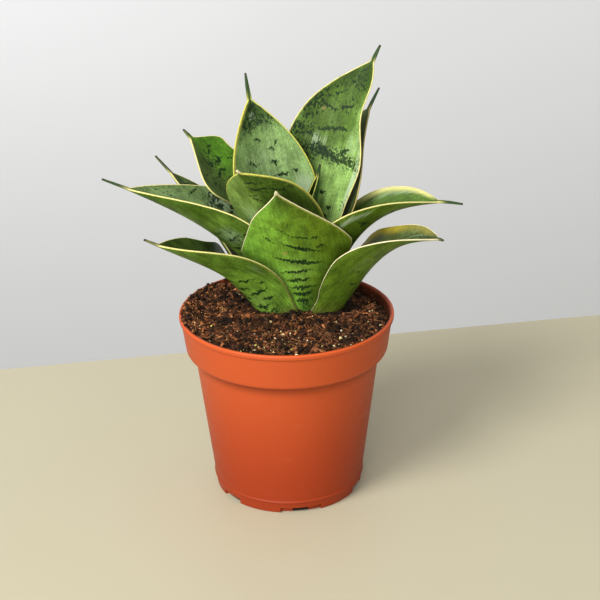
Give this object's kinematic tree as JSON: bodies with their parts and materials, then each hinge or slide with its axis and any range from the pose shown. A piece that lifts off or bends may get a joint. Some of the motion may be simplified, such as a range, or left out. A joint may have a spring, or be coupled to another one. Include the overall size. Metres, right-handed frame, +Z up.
{
  "type": "potted snake plant",
  "caption": "Dwarf snake plant in soil in a round plastic nursery pot: a rosette of broad, curled, banded leaves with pale margins and thin awl tips.",
  "frame": {"origin": "on the pot's axis, at the surface that the pot stands on, which is the bottom centre of the bounding box", "axes": "+Z up along the pot's axis; -Y is the front that the picture shows; +X is to the right, seen from the front"},
  "size_m": [0.1714, 0.105, 0.2162],
  "materials": {
    "terracotta_plastic": "satin",
    "soil": "matte",
    "leaf": "satin",
    "rhizome": "matte"
  },
  "bodies": {
    "root": {"pot": "terracotta_plastic", "soil": "soil", "rhizome": "rhizome", "leaf_front": "leaf", "leaf_front_left_low": "leaf", "leaf_front_right_low": "leaf", "leaf_left": "leaf", "leaf_front_left_upper": "leaf", "leaf_tall_left": "leaf", "leaf_tall_right": "leaf", "leaf_tall_back": "leaf", "leaf_back_left_upper": "leaf", "leaf_back_left_lower": "leaf", "leaf_right": "leaf", "leaf_back": "leaf", "leaf_back_right": "leaf", "leaf_centre_spear": "leaf"}
  },
  "joints": []
}
